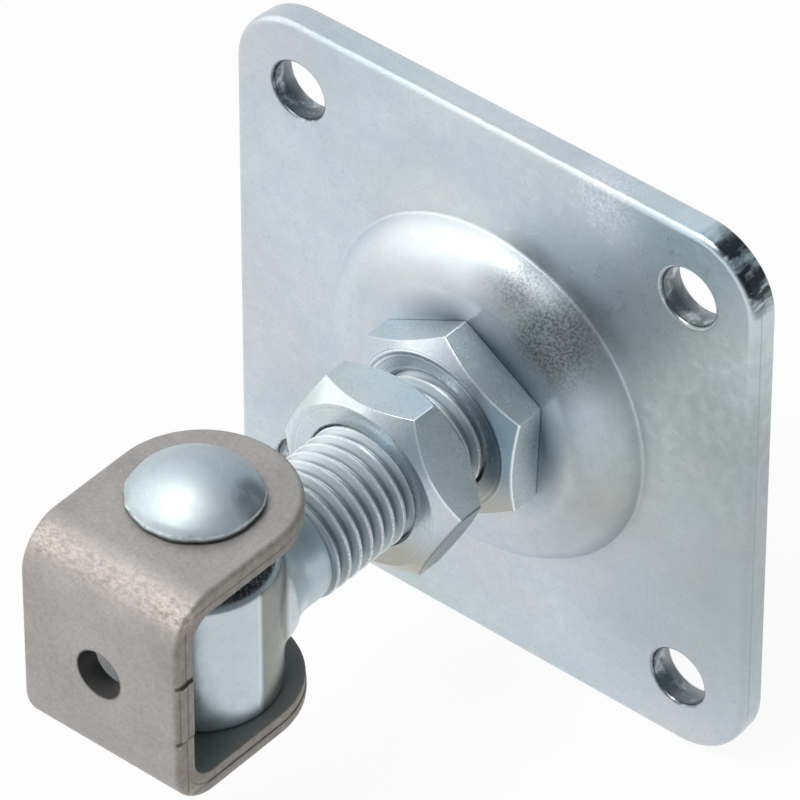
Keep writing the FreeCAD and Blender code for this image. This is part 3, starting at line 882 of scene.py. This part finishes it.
def bare_steel():
    """Unplated hot-rolled steel: warm grey scale, brown sheared edges, crazed bends, painted shade inside,
    in the web hole and in the grooves at the edge lands' ends.
    """
    finish = Finish("hot_rolled_steel", 0.5, 0.35)
    tree, place, x, y, z = finish.tree, finish.place, finish.x, finish.y, finish.z
    patches = noise(tree, place, 60, 5, 0.6)
    grain = noise(tree, place, 560, 7, 0.70)
    pits = noise(tree, place, 1700, 4, 0.75)
    finish.colour = mixed(tree, between(tree, patches, 0.32, 0.70), (0.47, 0.445, 0.43, 1),
                          (0.36, 0.34, 0.325, 1))
    finish.tint(between(tree, grain, 0.42, 0.66), (0.56, 0.52, 0.49), 0.34)
    finish.tint(between(tree, pits, 0.46, 0.64), (0.22, 0.20, 0.19), 0.26)
    finish.tint(between(tree, pits, 0.42, 0.30), (0.64, 0.61, 0.58), 0.30)
    height = off(tree, z, BRACKET_MIDDLE)
    from_outside = sums(tree, BRACKET_HIGH - BRACKET_MIDDLE, height, "SUBTRACT")
    from_web = sums(tree, y, WEB_REACH, "ADD")
    depth = sums(tree, from_outside, from_web, "MINIMUM")
    # Painted shade on the inner faces of the U.
    inside = between(tree, depth, 3.72, 3.95)
    finish.tint(inside, (0.19, 0.21, 0.21), 0.70)
    round_end = PIN - FLANGE_OVERHANG + BAR_W / 2
    outward = span(tree, x, sums(tree, sums(tree, y, round_end, "ADD"), 0.0, "MAXIMUM"))
    side = between(tree, outward, 14.2, 14.8)
    rust = mixed(tree, between(tree, grain, 0.35, 0.7), (0.25, 0.215, 0.18, 1), (0.46, 0.42, 0.37, 1))
    finish.colour = mixed(tree, sums(tree, side, 0.75), finish.colour, rust)
    shear = sums(tree, between(tree, off(tree, depth, 2.3), 0.28, 0.06), side)
    finish.tint(shear, (0.10, 0.085, 0.07), 0.60)
    over_bend = sums(tree, between(tree, height, 14.3, 16.6), between(tree, y, -87.0, -89.6))
    crazing = between(tree, noise(tree, place, 1300, 5, 0.8, stretch=(0.6, 1, 1)), 0.40, 0.60)
    scaly = mixed(tree, crazing, (0.33, 0.29, 0.265, 1), (0.66, 0.58, 0.53, 1))
    finish.colour = mixed(tree, sums(tree, over_bend, between(tree, patches, 0.3, 0.6, 0.45, 0.9)),
                          finish.colour, scaly)
    to_hole = span(tree, x, sums(tree, z, BRACKET_MIDDLE, "SUBTRACT"))
    # Painted shade in the web hole's wall.
    in_hole = sums(tree, between(tree, to_hole, WEB_HOLE_R + 0.45, WEB_HOLE_R + 0.05),
                   between(tree, y, -88, -89))
    finish.tint(in_hole, (0.03, 0.03, 0.03), 0.88)
    # Painted shade in the grooves at both ends of each edge land.
    notch = sums(tree, between(tree, off(tree, height, EDGE_LAND + 0.15), 0.42, 0.25), side)
    notch = sums(tree, notch, between(tree, off(tree, depth, 2.0), 1.9, 1.7))
    finish.tint(notch, (0.06, 0.055, 0.05), 0.85)
    rough_spots = sums(tree, sums(tree, over_bend, side, "MAXIMUM"), crazing)
    finish.bumps = [(patches, 0.3, 0.35), (grain, 0.5, 0.045), (pits, 0.45, 0.016),
                    (rough_spots, 0.35, 0.08), (sums(tree, shear, notch, "MAXIMUM"), 0.6, -0.12)]
    return finish.finished(between(tree, grain, 0.3, 0.75, 0.46, 0.66))


# Assembly

# The flat tints are painted reflections: light on both listed flats of the adjusting nut and on one of the
# lock nut, dark on the other flat of the lock nut.
adjuster_zinc = nut_finish("adjuster_zinc", (ADJUSTER_FRONT,), 1.0,
                           [(ADJUSTER_TURN + 30, (0.88, 0.97, 1.0), 0.70),
                            (ADJUSTER_TURN - 30, (0.90, 0.98, 1.0), 0.85)])
lock_nut_zinc = nut_finish("lock_nut_zinc", (LOCK_BACK, LOCK_FRONT), 0.15,
                           [(LOCK_TURN + 30, (0.88, 0.97, 1.0), 0.70),
                            (LOCK_TURN - 30, (0.13, 0.15, 0.155), 0.80)])

seated(plate_pressing(), "plate", "mounting_plate", plate_finish())
seated(adjusting_nut(), "adjuster", "adjusting_nut", adjuster_zinc)
seated(lock_nut(), "locker", "lock_nut", lock_nut_zinc)
seated(forged_eye_bolt(), "bolt", "eye_bolt", bolt_finish())
seated(set_rivet(), "rivet", "hinge_rivet", rivet_finish())
seated(folded_bracket(), "bracket", "gate_bracket", bare_steel())


# Studio

def floor():
    """Plain pale floor just under the plate's lower edge."""
    bpy.ops.object.select_all(action="DESELECT")
    bpy.ops.mesh.primitive_plane_add(size=6, location=(0, 0, -0.0502))
    sheet = named("floor")
    paint = bpy.data.materials.new("pale_floor")
    paint.use_nodes = True
    tree = paint.node_tree
    shader = tree.nodes["Principled BSDF"]
    shader.inputs["Base Color"].default_value = (0.86, 0.86, 0.86, 1)
    shader.inputs["Roughness"].default_value = 0.9
    path = put(tree, "LightPath").outputs
    seen = sums(tree, sums(tree, path["Is Camera Ray"], path["Is Transmission Ray"], "MAXIMUM"),
                path["Is Glossy Ray"], "MAXIMUM")
    white = put(tree, "Emission", {"Color": (1, 1, 1, 1), "Strength": 1.0}).outputs[0]
    lit = put(tree, "MixShader", {0: sums(tree, seen, 0.93), 1: shader.outputs[0], 2: white}).outputs[0]
    tree.links.new(lit, tree.nodes["Material Output"].inputs["Surface"])
    sheet.data.materials.append(paint)


def softbox(name, size, power, direction, distance, tone):
    """Round soft lamp that points at the part from a direction."""
    lamp = bpy.data.objects.new(name, bpy.data.lights.new(name, "AREA"))
    bpy.context.scene.collection.objects.link(lamp)
    lamp.data.shape = "DISK"
    lamp.data.size = size
    lamp.data.energy = power
    lamp.data.color = tone
    way = Vector(direction).normalized()
    lamp.location = way * distance + Vector((0, -0.04, 0))
    lamp.rotation_euler = (-way).to_track_quat("-Z", "Y").to_euler()


def studio_world():
    """White room that darkens to one side, so that the plating has something to reflect."""
    world = bpy.data.worlds.new("studio")
    bpy.context.scene.world = world
    world.use_nodes = True
    tree = world.node_tree
    tree.nodes.clear()
    path = put(tree, "LightPath").outputs
    seen = sums(tree, path["Is Camera Ray"], path["Is Transmission Ray"], "MAXIMUM")
    way = put(tree, "SeparateXYZ", {0: put(tree, "TexCoord").outputs["Generated"]}).outputs
    side = sums(tree, sums(tree, sums(tree, way[0], way[2], "ADD"), 0.5), sums(tree, way[1], -0.1), "ADD")
    shade = between(tree, side, 0.08, 0.50, 0.95, 0.25)
    tone = mixed(tree, between(tree, side, 0.08, 0.50), (0.96, 0.98, 1.0, 1), (0.78, 0.92, 1.0, 1))
    room = put(tree, "Background", {"Color": tone, "Strength": shade}).outputs[0]
    soft = put(tree, "Background", {"Color": tone, "Strength": sums(tree, shade, 0.65)}).outputs[0]
    white = put(tree, "Background", {"Color": (1, 1, 1, 1), "Strength": 1.0}).outputs[0]
    lit = put(tree, "MixShader", {0: path["Is Glossy Ray"], 1: soft, 2: room}).outputs[0]
    all_rays = put(tree, "MixShader", {0: seen, 1: lit, 2: white}).outputs[0]
    put(tree, "OutputWorld", {0: all_rays})


def camera():
    """Camera at the photograph's viewing angle, fitted to the plate's edges and holes."""
    level = math.cos(CAMERA_ELEVATION)
    back = Vector((math.sin(CAMERA_AZIMUTH) * level, -math.cos(CAMERA_AZIMUTH) * level,
                   math.sin(CAMERA_ELEVATION)))
    right = Vector((math.cos(CAMERA_AZIMUTH), math.sin(CAMERA_AZIMUTH), 0))
    above = back.cross(right)
    aim = (right * AIM_RIGHT + above * AIM_ABOVE) * MM
    view = bpy.data.objects.new("camera", bpy.data.cameras.new("camera"))
    bpy.context.scene.collection.objects.link(view)
    view.location = aim + back * CAMERA_DISTANCE * MM
    view.rotation_euler = (-back).to_track_quat("-Z", "Y").to_euler()
    view.data.lens = CAMERA_LENS
    view.data.sensor_width = 36
    bpy.context.scene.camera = view


floor()
studio_world()
softbox("key", 0.65, 7.5, (-0.08, -0.42, 0.90), 1.1, (1.0, 1.0, 1.0))
softbox("fill", 1.6, 4.5, (-0.85, -0.45, 0.35), 1.3, (1.0, 0.99, 0.98))
camera()
bpy.context.scene.view_settings.view_transform = "Standard"
